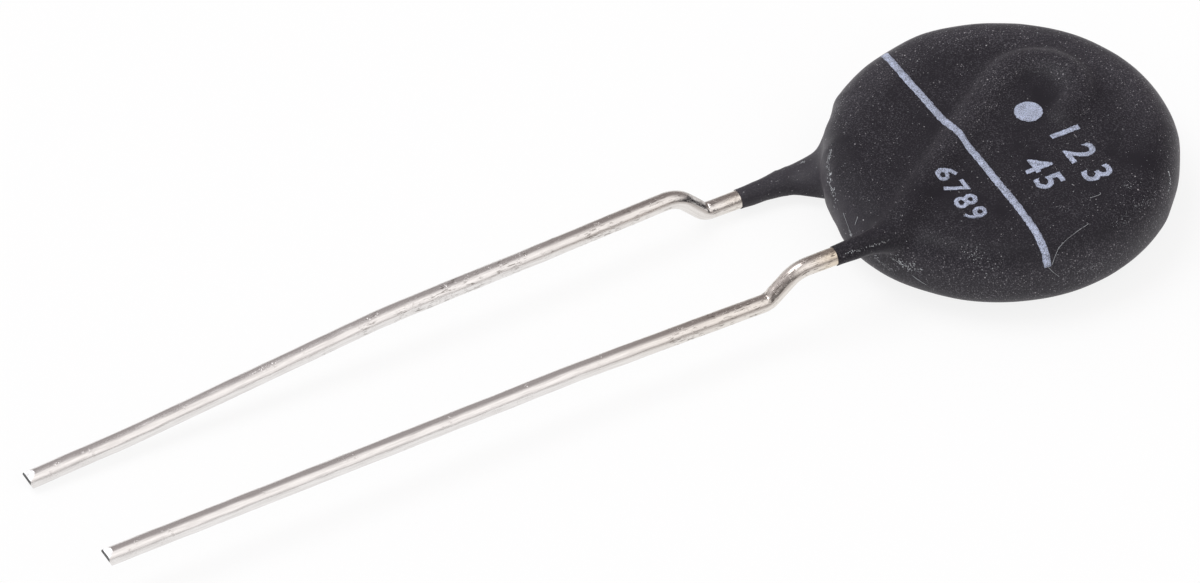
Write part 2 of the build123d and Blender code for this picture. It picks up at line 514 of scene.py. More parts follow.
def make_piece(
    name: str, bm: BMesh, material: bpy.types.Material
) -> bpy.types.Object:
    """Turns a bmesh into a piece that rides on the part.

    Args:
        name: the piece's name.
        bm: its mesh, which is freed.
        material: its finish.

    Returns:
        The new object.
    """
    mesh = to_mesh(name, bm)
    mesh.materials.append(material)
    for polygon in mesh.polygons:
        polygon.use_smooth = True
    piece = add_object(name, mesh)
    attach(piece, BODY)
    return piece


def soften(bm: BMesh, verts: list[BMVert], rounds: int, regrow: float = 0.0) -> None:
    """Smooths some vertices of a mesh.

    Args:
        bm: the mesh.
        verts: the vertices that move.
        rounds: number of rounds.
        regrow: share of each round that is given back, so that thin forms keep their size.
    """
    for _ in range(rounds):
        for factor in (0.5, -regrow):
            if factor:
                bmesh.ops.smooth_vert(
                    bm, verts=verts, factor=factor, use_axis_x=True, use_axis_y=True, use_axis_z=True
                )


@dataclass
class Station:
    """One place on a route: its position, its directions and its distance from the start."""

    centre: Vector
    along: Vector
    up: Vector
    distance: float

    def matrix(self) -> Matrix:
        """Returns the matrix that carries a ring in the XY plane here, with its Y axis up."""
        side = self.up.cross(self.along).normalized()
        turn = Matrix((side, self.along.cross(side), self.along)).transposed().to_4x4()
        return Matrix.Translation(self.centre) @ turn


def rounded_route(corners: list[Vector], radii: list[float], step: float) -> list[Station]:
    """Walks along straight runs joined by tangent arcs.

    Args:
        corners: corners of the route, from its start to its end.
        radii: radius at each inner corner.
        step: distance between two stations.

    Returns:
        The stations, evenly spaced.
    """
    points = [corners[0]]
    for before, corner, after, radius in zip(corners, corners[1:], corners[2:], radii):
        inward = (before - corner).normalized()
        outward = (after - corner).normalized()
        turn = math.pi - inward.angle(outward)
        reach = radius * math.tan(turn / 2)
        centre = corner + (inward + outward).normalized() * (radius / math.cos(turn / 2))
        start = corner + inward * reach - centre
        axis = start.cross(corner + outward * reach - centre).normalized()
        count = max(2, round(radius * turn / step))
        points += [centre + Matrix.Rotation(turn * i / count, 3, axis) @ start for i in range(count + 1)]
    points.append(corners[-1])
    return even_stations(points, step)


def even_stations(line: list[Vector] | tuple[Point, ...], step: float) -> list[Station]:
    """Spaces stations evenly along a line of points.

    Args:
        line: the line's points.
        step: distance between two stations, which is adjusted to the line's length.

    Returns:
        The stations, with their up directions as near to +Z as the line allows.
    """
    points = [Vector(point) for point in line]
    lengths = [(b - a).length for a, b in zip(points, points[1:])]
    total = sum(lengths)
    count = max(2, round(total / step))
    stations: list[Station] = []
    run, walked = 0, 0.0
    for index in range(count + 1):
        distance = total * index / count
        while run < len(lengths) - 1 and walked + lengths[run] < distance:
            walked += lengths[run]
            run += 1
        share = (distance - walked) / lengths[run] if lengths[run] else 0.0
        along = (points[run + 1] - points[run]).normalized()
        centre = points[run].lerp(points[run + 1], share)
        stations.append(Station(centre, along, Vector((0, 0, 1)), distance))
    for before, station, after in zip(stations, stations[1:], stations[2:]):
        station.along = (after.centre - before.centre).normalized()
    return stations


def sweep_tube(bm: BMesh, stations: list[Station], radius: float, segments: int) -> list[list[BMVert]]:
    """Extrudes a ring along a route and closes both ends.

    Args:
        bm: the mesh that gets the tube.
        stations: the route.
        radius: the tube's radius.
        segments: number of sides.

    Returns:
        The tube's rings of vertices, one for each station.
    """
    first = stations[0].matrix()
    circle = bmesh.ops.create_circle(bm, cap_ends=False, segments=segments, radius=radius, matrix=first)
    rings = [circle["verts"]]
    edges = list({edge for vert in rings[0] for edge in vert.link_edges})
    bmesh.ops.holes_fill(bm, edges=edges, sides=segments)
    for before, station in zip(stations, stations[1:]):
        ring, edges = extend(bm, edges)
        move = station.matrix() @ before.matrix().inverted()
        bmesh.ops.transform(bm, matrix=move, verts=ring)
        rings.append(ring)
    bmesh.ops.holes_fill(bm, edges=edges, sides=segments)
    return rings


def smooth_step(value: float, low: float, high: float) -> float:
    """Returns 0 below low and 1 above high, with a smooth rise between."""
    share = min(max((value - low) / (high - low), 0.0), 1.0)
    return share * share * (3 - 2 * share)


# Sub-assemblies


@dataclass(frozen=True)
class Dent:
    """A mark left on a wire by the forming tool, in millimetres and degrees.

    The place is measured from the disc's middle, and an angle of 90 degrees is the wire's top.
    """

    place: float
    angle: float
    depth: float
    length: float
    spread: float


@dataclass(frozen=True)
class LeadPlan:
    """Sizes of one wire and its sleeve, in millimetres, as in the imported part.

    The wear starts and is full at the two places of worn_from and is as strong as worn, and golden
    is the golden share at the coating. Places are measured from the disc's middle.
    """

    name: str
    node: str
    face: Face
    across: float
    sleeve_length: float
    sleeve_extra: float
    bare_length: float
    seat_level: float
    radii: tuple[float, ...]
    bends: tuple[Point, ...]
    dents: tuple[Dent, ...]
    worn_from: Span
    worn: float
    golden: float
    wire_radius: float = 0.4
    wire_level: float = 1.405

    def level(self) -> float:
        """Returns the height of the wire on the ceramic."""
        return self.face.value * self.wire_level

    def rim(self) -> float:
        """Returns the distance from the disc's middle to its rim, measured along the wire."""
        return math.sqrt(DISC_RADIUS**2 - self.across**2)

    def sleeve_end(self) -> float:
        """Returns the place along X where the sleeve ends."""
        return -self.rim() - self.sleeve_length


@dataclass(frozen=True)
class Press:
    """A broad shallow flat of the disc's rim, or a swelling where the depth is negative.

    Lengths are in millimetres and angles in degrees. It acts fully above the level top and not
    at all below the level foot.
    """

    angle: float
    depth: float
    spread: float
    foot: float = -9.0
    top: float = -8.0

    def direction(self) -> Vector:
        """Returns the direction from the disc's middle to the flat."""
        angle = math.radians(self.angle)
        return Vector((math.cos(angle), math.sin(angle), 0))


@dataclass(frozen=True)
class DustAndSheenPlan:
    """Zones of dust on the disc, and of a pale veil that is partly painted sheen where light grazes it.

    Each span says where a zone starts and where it is full, in millimetres from the disc's
    middle or, for a reach, in shares of the disc's radius. The drifts are sizes and strengths.
    """

    far_slope: float = 0.6
    far: Span = (-1.5, 3.5)
    top_reach: Span = (0.62, 0.86)
    wall_height: Span = (1.5, 0.7)
    wall_reach: Span = (0.84, 0.95)
    crest_height: Span = (1.72, 1.92)
    crest_side: Span = (-1.0, 1.0)
    neck_along: Span = (-5.0, -6.4)
    neck_side: Span = (-2.5, -1.9)
    neck_reach: Span = (0.9, 0.97)
    neck_clean: float = 0.75
    most: float = 1.2
    drifts: tuple[Span, ...] = ((2.2, 0.25), (0.7, 0.2))


@dataclass
class Coating:
    """The dipped coating as one soft skin over the disc and both wires.

    Each span says where an effect starts and where it is full.
    """

    plans: tuple[LeadPlan, ...]
    dust: DustAndSheenPlan = DustAndSheenPlan()
    voxel: float = 0.09 * MM
    even_rounds: int = 12
    even_regrow: float = 0.53
    soft_rounds: int = 18
    soft_reach: float = 8.1 * MM
    top_rounds: int = 14
    top_level: float = 1.5 * MM
    ripple: float = 0.035 * MM
    ripple_size: float = 3.2 * MM
    fine_ripple: float = 0.3
    fine_ripple_size: float = 1.1 * MM
    ripple_zone: Span = (9.0 * MM, 7.9 * MM)
    press_zone: Span = (5.0 * MM, 7.9 * MM)
    press_end: Span = (8.9 * MM, 8.2 * MM)
    headroom: float = 0.015 * MM
    presses: tuple[Press, ...] = (
        Press(112.0, 0.13, 26.0),
        Press(140.5, 0.25, 14.0, -0.9, 0.3),
        Press(171.0, 0.09, 12.0),
        Press(197.0, -0.1, 22.0),
        Press(-36.0, 0.08, 16.0),
        Press(62.0, 0.07, 26.0),
    )
    neck_growth: float = 0.45
    neck_start: Span = (-9.2, -7.4)
    neck_stop: Span = (-5.6, -6.6)
    neck_side: Span = (3.1, 1.5)
    neck_core: float = 0.8
    neck_place: Point = (-6.5, 4.1, 0.0)
    neck_blends: tuple[tuple[float, int], ...] = ((3.4, 14), (2.6, 20), (1.9, 26))
    film_end: float = 0.04
    film_full: float = 0.085
    film_taper: float = 1.1
    film_ripple: float = 0.02
    film_waves: float = 1.7
    grip_run: float = 0.6
    grip_core: float = 0.3
    centre: Vector = field(init=False)
    tree: BVHTree = field(init=False)

    def __post_init__(self) -> None:
        """Reads the disc's middle from the frame."""
        low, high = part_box("ceramic_disc")
        self.centre = (low + high) / 2

    def closed_copy(self, frame: dict) -> BMesh:
        """Copies the coating and plugs its two wire holes.

        Args:
            frame: the loaded frame.

        Returns:
            The coating's mesh with the covered stretches of both wires.
        """
        bm = bmesh.new()
        bm.from_mesh(frame["nodes"]["coating"].data)
        for plan in self.plans:
            plug = bmesh.new()
            plug.from_mesh(frame["nodes"][plan.node].data)
            bmesh.ops.remove_doubles(plug, verts=plug.verts, dist=WELD * MM)
            end = self.centre + Vector((plan.sleeve_end(), 0, 0)) * MM
            bmesh.ops.holes_fill(plug, edges=cut_off(plug, end, (-1, 0, 0)), sides=0)
            add_mesh(bm, to_mesh("plug", plug))
        bmesh.ops.remove_doubles(bm, verts=bm.verts, dist=WELD * MM)
        return bm

    def skin(self, frame: dict) -> BMesh:
        """Remeshes the coating to one even skin and softens its creases.

        Args:
            frame: the loaded frame.

        Returns:
            The skin's mesh.
        """
        source = to_mesh("skin_source", self.closed_copy(frame))
        holder = add_object("skin_source", source)
        remesh = holder.modifiers.new("even", "REMESH")
        remesh.mode = "VOXEL"
        remesh.voxel_size = self.voxel
        bm = bmesh.new()
        add_mesh(bm, evaluated_mesh(holder))
        bpy.data.meshes.remove(source)
        on_disc = [v for v in bm.verts if (v.co - self.centre).xy.length < self.soft_reach]
        soften(bm, list(bm.verts), self.even_rounds, self.even_regrow)
        soften(bm, on_disc, self.soft_rounds)
        on_top = [v for v in on_disc if v.co.z - self.centre.z > self.top_level]
        soften(bm, on_top, self.top_rounds)
        return bm

    def shape_sleeves(self, bm: BMesh) -> None:
        """Draws each sleeve out to its thin end, close round the wire.

        Args:
            bm: the skin's mesh.
        """
        for plan in self.plans:
            end = plan.sleeve_end()
            start = end + self.film_taper + self.grip_run
            for vert in bm.verts:
                place = (vert.co - self.centre) / MM
                if place.x > start or (place.y > 0) != (plan.across > 0):
                    continue
                offset = Vector((0, place.y - plan.across, place.z - plan.level()))
                share = smooth_step(place.x, end, end + self.film_taper)
                film = self.film_end + (self.film_full - self.film_end) * share
                film += self.film_ripple * noise.noise(place * self.film_waves)
                grip = smooth_step(place.x, start, start - self.grip_run)
                radius = offset.length
                if radius > self.grip_core:
                    wanted = radius + (plan.wire_radius + film - radius) * grip
                    place += offset * (wanted / radius - 1)
                place.x -= plan.sleeve_extra * smooth_step(place.x, start, end)
                vert.co = self.centre + place * MM

    def settle(self, bm: BMesh) -> None:
        """Gives the skin its slight waviness and its flats, and keeps it inside the coating's box.

        Args:
            bm: the skin's mesh.
        """
        low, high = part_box("coating")
        bm.normal_update()
        for vert in bm.verts:
            place = vert.co - self.centre
            reach = place.xy.length
            wave = noise.noise(vert.co / self.ripple_size)
            wave += self.fine_ripple * noise.noise(vert.co / self.fine_ripple_size)
            vert.co += vert.normal * wave * self.ripple * smooth_step(reach, *self.ripple_zone)
            outer = smooth_step(reach, *self.press_zone) * smooth_step(reach, *self.press_end)
            for press in self.presses:
                way = press.direction()
                side = math.cos(math.radians(press.spread))
                facing = smooth_step(place.xy.normalized().dot(way.xy), side, 1.0)
                share = facing * outer * smooth_step(place.z, press.foot * MM, press.top * MM)
                vert.co -= way * press.depth * MM * share
        for vert in bm.verts:
            vert.co.z = min(max(vert.co.z, low.z), high.z - self.headroom)

    def widen_neck(self, bm: BMesh) -> None:
        """Spreads the root of the neck on the back wire and blends it into the disc's edge.

        Args:
            bm: the skin's mesh.
        """
        plan = next(plan for plan in self.plans if plan.face is Face.BACK)
        for vert in bm.verts:
            place = (vert.co - self.centre) / MM
            share = smooth_step(place.x, *self.neck_start) * smooth_step(place.x, *self.neck_stop)
            offset = place.y - plan.across
            near = smooth_step(abs(offset), *self.neck_side)
            sideways = min(max(offset / self.neck_core, -1.0), 1.0)
            vert.co.y += self.neck_growth * share * near * sideways * MM
        middle = self.centre + Vector(self.neck_place) * MM
        edge = self.centre.x - self.soft_reach
        for reach, rounds in self.neck_blends:
            zone = [v for v in bm.verts if v.co.x > edge and (v.co - middle).length < reach * MM]
            soften(bm, zone, rounds)

    def spread_dust_and_sheen(self, bm: BMesh) -> None:
        """Writes how much dust each place holds to the attribute dust, and a pale veil that is partly
        painted sheen to the attribute haze.

        Args:
            bm: the skin's mesh.
        """
        dust = bm.verts.layers.float.new("dust")
        haze_and_sheen = bm.verts.layers.float.new("haze_and_sheen")
        plan = self.dust
        for vert in bm.verts:
            place = (vert.co - self.centre) / MM
            reach = place.xy.length / DISC_RADIUS
            far = smooth_step(place.y + plan.far_slope * place.x, *plan.far)
            top = smooth_step(reach, *plan.top_reach) * far
            wall = smooth_step(place.z, *plan.wall_height) * smooth_step(reach, *plan.wall_reach)
            crest = smooth_step(place.z, *plan.crest_height) * smooth_step(place.y, *plan.crest_side)
            neck = smooth_step(place.x, *plan.neck_along) * smooth_step(place.y, *plan.neck_side)
            neck *= smooth_step(reach, *plan.neck_reach)
            drift = sum(share * noise.noise(vert.co / (size * MM)) for size, share in plan.drifts)
            amount = 0.24 + 0.6 * top + 0.6 * wall + 0.5 * crest + drift
            vert[dust] = min(max(amount, 0.0), plan.most) * (1 - plan.neck_clean * neck)
            # Painted sheen, strongest on the rim wall and far top where light grazes, with some pale dust.
            vert[haze_and_sheen] = 0.16 * top + 0.18 * wall + 0.11 * neck + 0.06 * crest

    def build(self, frame: dict) -> bpy.types.Object:
        """Builds the coating.

        Args:
            frame: the loaded frame.

        Returns:
            The coating's piece, which stands for its node.
        """
        bm = self.skin(frame)
        self.shape_sleeves(bm)
        self.widen_neck(bm)
        self.settle(bm)
        self.spread_dust_and_sheen(bm)
        self.tree = BVHTree.FromBMesh(bm)
        piece = make_piece("dipped_skin", bm, DippedFinish().material())
        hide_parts("coating")
        return piece

    def touch(self, place: Vector) -> tuple[Vector, Vector]:
        """Finds the nearest place on the skin.

        Args:
            place: a place in millimetres from the disc's middle.

        Returns:
            The place on the skin in metres, and the skin's outward direction there.
        """
        spot, normal, _, _ = self.tree.find_nearest(self.centre + place * MM)
        return spot, normal


@dataclass(frozen=True)
class TipCut:
    """One shearing cut across a wire's tip, in millimetres and degrees.

    It faces up where upward is 1 and down where upward is -1. The finish is the number of the cut face's
    material: 1 is the light copy of the sheared metal and 2 the dark copy, which is painted shade.
    """

    upward: int
    height: float
    angle: float
    inset: float
    finish: int


@dataclass
class LeadWire:
    """One tinned wire from its sheared tip to the end of its hook on the ceramic."""

    plan: LeadPlan
    neck_inset: float = 0.4
    hook_corner: tuple[float, float] = (3.15, 4.12)
    hook_radius: float = 1.8
    hook_tail: float = 0.8
    kink_run: float = 1.4
    # The end cut takes the dark copy of the sheared metal, as painted shade.
    tip_cuts: tuple[TipCut, ...] = (
        TipCut(1, 0.19, 31.0, 0.0, 1),
        TipCut(-1, 0.15, 66.0, 0.0, 1),
        TipCut(1, 0.17, 76.0, 0.05, 2),
    )
    # Bands round the wire, as middle angle, width and strength, of tarnish and painted shade on its top and
    # upper side.
    stain_and_shade_bands: tuple[tuple[float, float, float], ...] = ((87.0, 24.0, 0.85), (156.0, 11.0, 1.0))
    shades: tuple[str, str, str] = ("golden", "stained_and_shaded", "worn")
    segments: int = 40
    step: float = 0.12
    age_zone: Span = (-24.0, -13.5)
    golden_base: float = 0.04
    golden_age: float = 0.3
    stain_and_shade_base: float = 0.05
    stain_and_shade_age: float = 0.9
    glow_run: float = 1.6
    hidden_zone: Span = (-0.1, 0.3)
    lumps: float = 0.012
    lump_waves: Span = (900.0, 2600.0)
    most_raised: float = 0.02

    def corners(self, centre: Vector) -> list[Vector]:
        """Works out the corners of the wire's centre line.

        Args:
            centre: the disc's middle.

        Returns:
            The corners from the tip to the end of the hook, in metres.
        """
        plan = self.plan
        side = -1 if plan.across > 0 else 1
        level = plan.level()
        step_x = plan.bare_length - plan.sleeve_end()
        points = [(-x, plan.across + shift, height) for x, shift, height in reversed(plan.bends)]
        points.append((-(step_x + self.kink_run), plan.across, plan.seat_level))
        points.append((-step_x, plan.across, level))
        neck = Vector((self.neck_inset - plan.rim(), plan.across, level))
        corner = Vector((self.hook_corner[0], side * self.hook_corner[1], level))
        ahead = (corner - neck).normalized()
        turned = Vector((side * ahead.y, -side * ahead.x, 0))
        far = corner + turned * 2 * self.hook_radius
        end = far - ahead * (self.hook_radius + self.hook_tail)
        return [centre + Vector(p) * MM for p in [*points, neck, corner, far, end]]

    def dent_depth(self, place: float, angle: float) -> float:
        """Returns how far the wire's surface is pressed in, in millimetres.

        Args:
            place: distance from the disc's middle, in millimetres.
            angle: direction round the wire, in degrees.

        Returns:
            The depth of all dents together.
        """
        depth = 0.0
        for dent in self.plan.dents:
            along = (place - dent.place) / dent.length
            turn = ((angle - dent.angle + 180) % 360 - 180) / dent.spread
            depth += dent.depth * math.exp(-(along**2) - turn**2)
        return depth

    def stain_and_shade(self, angle: float) -> float:
        """Returns how much tarnish and painted shade darken the wire in a direction round it, in degrees.
        """
        spots = ((share, (angle - middle) / width) for middle, width, share in self.stain_and_shade_bands)
        return sum(share * math.exp(-(off**2)) for share, off in spots)

    def wear_surface(
        self, bm: BMesh, stations: list[Station], rings: list[list[BMVert]], centre: Vector
    ) -> None:
        """Presses lumps and dents into the wire and writes its shading attributes.

        Args:
            bm: the wire's mesh.
            stations: the wire's stations.
            rings: its rings of vertices.
            centre: the disc's middle.
        """
        straight = bm.verts.layers.float_vector["straight"]
        golden, stained_and_shaded, worn = (bm.verts.layers.float[name] for name in self.shades)
        sleeve_end = self.plan.sleeve_end()
        hidden_start, hidden_full = (sleeve_end + shift for shift in self.hidden_zone)
        along_waves, round_waves = self.lump_waves
        for station, ring in zip(stations, rings):
            flat = station.matrix().inverted()
            place = (station.centre.x - centre.x) / MM
            age = smooth_step(place, *self.age_zone)
            wear = self.plan.worn * smooth_step(place, *self.plan.worn_from)
            glow = smooth_step(place, sleeve_end - self.glow_run, sleeve_end)
            gold = self.golden_base + self.plan.golden * (glow + self.golden_age * age * (1 - glow))
            hidden = smooth_step(place, hidden_start, hidden_full)
            for vert in ring:
                local = flat @ vert.co
                angle = math.degrees(math.atan2(local.y, local.x))
                spot = (station.distance * along_waves, local.x * round_waves, local.y * round_waves)
                press = self.dent_depth(place, angle) - self.lumps * noise.noise(Vector(spot))
                press = max(press * (1 - hidden), -self.most_raised)
                vert[straight] = Vector((station.distance, local.x, local.y))
                vert[golden] = gold
                # Tarnish and painted shade on the wire's top, stronger toward the step.
                vert[stained_and_shaded] = (self.stain_and_shade_base + self.stain_and_shade_age * age) * self.stain_and_shade(angle)
                vert[worn] = wear
                vert.co -= (vert.co - station.centre).normalized() * press * MM

    def cut_tip(self, bm: BMesh, tip: Vector) -> None:
        """Shears the tip to a blunt wedge with crisp edges.

        Args:
            bm: the wire's mesh.
            tip: the middle of the wedge's edge.
        """
        for tip_cut in self.tip_cuts:
            tilt = math.radians(tip_cut.angle)
            place = tip + Vector((tip_cut.inset, 0, tip_cut.height)) * MM
            rim = cut_off(bm, place, (-math.sin(tilt), 0, tip_cut.upward * math.cos(tilt)))
            for edge in rim:
                edge.smooth = False
            for face in bmesh.ops.holes_fill(bm, edges=rim, sides=0)["faces"]:
                face.material_index = tip_cut.finish

    def build(self, coating: Coating, materials: list[bpy.types.Material]) -> bpy.types.Object:
        """Builds the wire.

        Args:
            coating: the coating, which gives the disc's place.
            materials: the finishes of the wire and of the faces sheared at its tip.

        Returns:
            The wire's piece, which stands for its node.
        """
        corners = self.corners(coating.centre)
        stations = rounded_route(corners, [r * MM for r in self.plan.radii], self.step * MM)
        bm = bmesh.new()
        bm.verts.layers.float_vector.new("straight")
        for name in self.shades:
            bm.verts.layers.float.new(name)
        rings = sweep_tube(bm, stations, self.plan.wire_radius * MM, self.segments)
        self.wear_surface(bm, stations, rings, coating.centre)
        self.cut_tip(bm, corners[0])
        bmesh.ops.recalc_face_normals(bm, faces=bm.faces)
        piece = make_piece(self.plan.name, bm, materials[0])
        for material in materials[1:]:
            piece.data.materials.append(material)
        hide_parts(self.plan.node)
        return piece


@dataclass(frozen=True)
class PrintRow:
    """One row of plain numbers, with places in millimetres from the disc's middle."""

    text: str
    along: float
    across: tuple[float, ...]
    height: float


@dataclass
class Marking:
    """The printed line, dot and plain numbers, laid on the coating as a thin film of ink."""

    rows: tuple[PrintRow, ...]
    line: tuple[Point, ...]
    line_width: float = 0.33
    dot_place: Point = (1.75, 0.55, 1.75)
    dot_radius: float = 0.62
    dot_sides: int = 40
    film: float = 0.01
    ragged: float = 0.04
    ragged_waves: float = 11.0
    stroke: float = 0.018
    grain: float = 0.1
    splits: int = 6

    def drape(self, bm: BMesh, coating: Coating) -> None:
        """Lays flat ink on the coating and roughens its outline.

        Args:
            bm: the ink's mesh, in millimetres from the disc's middle.
            coating: the coating that carries it.
        """
        for vert in bm.verts:
            if vert.is_boundary:
                vert.co.x += noise.noise(vert.co * self.ragged_waves) * self.ragged
                vert.co.y += noise.noise(vert.co * self.ragged_waves + Vector((9, 9, 9))) * self.ragged
        raised = bmesh.ops.extrude_face_region(bm, geom=bm.faces[:])["geom"]
        top = set(pick(raised, BMVert))
        for vert in bm.verts:
            spot, normal = coating.touch(vert.co)
            lift = self.film if vert in top else -self.film
            vert.co = spot + normal * lift * MM

    def divide(self, bm: BMesh) -> None:
        """Splits every edge that is longer than the grain.

        Args:
            bm: a flat mesh in millimetres.
        """
        bmesh.ops.triangulate(bm, faces=bm.faces)
        for _ in range(self.splits):
            long_edges = [edge for edge in bm.edges if edge.calc_length() > self.grain]
            if not long_edges:
                break
            bmesh.ops.subdivide_edges(bm, edges=long_edges, cuts=1)
            bmesh.ops.triangulate(bm, faces=bm.faces)

    def figure(self, bm: BMesh, text: str, middle: Vector, height: float) -> None:
        """Adds one figure, upright along +X and read along -Y.

        Args:
            bm: the mesh that gets it.
            text: the figure.
            middle: its middle.
            height: its height.
        """
        curve = bpy.data.curves.new("figure", "FONT")
        curve.body = text
        curve.offset = self.stroke
        curve.resolution_u = 8
        mesh = evaluated_mesh(add_object("figure", curve))
        bpy.data.curves.remove(curve)
        low = Vector([min(v.co[axis] for v in mesh.vertices) for axis in range(3)])
        high = Vector([max(v.co[axis] for v in mesh.vertices) for axis in range(3)])
        scale = height / (high.y - low.y)
        mesh.transform(
            Matrix.Translation(middle)
            @ Matrix.Rotation(math.radians(-90), 4, "Z")
            @ Matrix.Scale(scale, 4)
            @ Matrix.Translation(-(low + high) / 2)
        )
        add_mesh(bm, mesh)

    def stripe(self, bm: BMesh) -> None:
        """Adds the long line, which bends over the rim.

        Args:
            bm: the mesh that gets it.
        """
        stations = even_stations(self.line, self.grain)
        shifts = [Vector((self.line_width * (count / 3 - 0.5), 0, 0)) for count in range(4)]
        row = [bm.verts.new(stations[0].centre + shift) for shift in shifts]
        edges = [bm.edges.new(pair) for pair in zip(row, row[1:])]
        for before, station in zip(stations, stations[1:]):
            row, edges = extend(bm, edges)
            bmesh.ops.translate(bm, verts=row, vec=station.centre - before.centre)

    def build(self, coating: Coating) -> bpy.types.Object:
        """Builds the print.

        Args:
            coating: the coating that carries it.

        Returns:
            The print's piece.
        """
        bm = bmesh.new()
        for row in self.rows:
            for letter, across in zip(row.text, row.across):
                self.figure(bm, letter, Vector((row.along, across, self.dot_place[2])), row.height)
        dot = Matrix.Translation(self.dot_place)
        size = {"segments": self.dot_sides, "radius": self.dot_radius}
        bmesh.ops.create_circle(bm, cap_ends=True, matrix=dot, **size)
        bmesh.ops.remove_doubles(bm, verts=bm.verts, dist=WELD)
        self.divide(bm)
        self.stripe(bm)
        self.drape(bm, coating)
        bmesh.ops.recalc_face_normals(bm, faces=bm.faces)
        return make_piece("printed_marks", bm, InkFinish().material())


@dataclass(frozen=True)
class Drift:
    """Flakes of dust scattered along a line, in millimetres from the disc's middle."""

    spread: float
    flakes: int
    size: float
    line: tuple[Point, ...]


@dataclass
class Lint:
    """Stray fibres and dust that cling to the coating."""

    fibres: tuple[tuple[Point, ...], ...]
    drifts: tuple[Drift, ...]
    fibre_radius: float = 0.0095
    fibre_step: float = 0.12
    fibre_lift: float = 1.2
    fibre_sides: int = 6
    steep: float = 0.9
    drift_step: float = 0.05
    flake_least: float = 0.5
    flake_variety: float = 0.7
    flake_stretch: Span = (0.6, 1.8)
    flake_height: float = 0.45
    stray_flakes: int = 900
    stray_size: float = 0.009
    stray_reach: float = 7.9
    stray_height: float = 1.7
    seed: int = 7

    def fibre(self, bm: BMesh, line: tuple[Point, ...], coating: Coating) -> None:
        """Lays one fibre on the coating.

        Args:
            bm: the mesh that gets it.
            line: its points, in millimetres from the disc's middle.
            coating: the coating that carries it.
        """
        laid = []
        for station in even_stations(line, self.fibre_step):
            spot, normal = coating.touch(station.centre)
            laid.append(spot + normal * self.fibre_radius * self.fibre_lift * MM)
        stations = even_stations(laid, 0.1 * MM)
        for station in stations:
            if abs(station.along.z) > self.steep:
                station.up = Vector((1, 0, 0))
        sweep_tube(bm, stations, self.fibre_radius * MM, self.fibre_sides)

    def flake(self, bm: BMesh, place: Vector, size: float, dice: random.Random, coating: Coating) -> None:
        """Puts one flake of dust on the coating.

        Args:
            bm: the mesh that gets it.
            place: a place near it, in millimetres from the disc's middle.
            size: its usual radius, in millimetres.
            dice: source of chance.
            coating: the coating that carries it.
        """
        spot, normal = coating.touch(place)
        stand = normal.to_track_quat("Z", "Y").to_matrix().to_4x4()
        radius = size * (self.flake_least + abs(dice.gauss(0, self.flake_variety)))
        length = radius * dice.uniform(*self.flake_stretch)
        shape = Matrix.Diagonal((length, radius, radius * self.flake_height, 1.0))
        spin = Matrix.Rotation(dice.uniform(0, math.tau), 4, "Z")
        matrix = Matrix.Translation(spot) @ stand @ spin @ shape @ Matrix.Scale(MM, 4)
        bmesh.ops.create_icosphere(bm, subdivisions=1, radius=1.0, matrix=matrix)

    def build(self, coating: Coating) -> bpy.types.Object:
        """Builds the lint.

        Args:
            coating: the coating that carries it.

        Returns:
            The lint's piece.
        """
        dice = random.Random(self.seed)
        bm = bmesh.new()
        for line in self.fibres:
            self.fibre(bm, line, coating)
        for drift in self.drifts:
            line = even_stations(drift.line, self.drift_step)
            for _ in range(drift.flakes):
                jitter = Vector([dice.gauss(0, drift.spread) for _ in range(3)])
                self.flake(bm, dice.choice(line).centre + jitter, drift.size, dice, coating)
        for _ in range(self.stray_flakes):
            angle = dice.uniform(0, math.tau)
            reach = self.stray_reach * math.sqrt(dice.uniform(0, 1))
            place = Vector((reach * math.cos(angle), reach * math.sin(angle), self.stray_height))
            self.flake(bm, place, self.stray_size, dice, coating)
        bmesh.ops.recalc_face_normals(bm, faces=bm.faces)
        return make_piece("lint", bm, LintFinish().material())


@dataclass(frozen=True)
class Patch:
    """One soft round patch of light or shade in the world.

    It is full inside the inner angle and fades out at the outer one, in degrees from its middle.
    """

    towards: Point
    outer: float
    inner: float
    colour: Colour


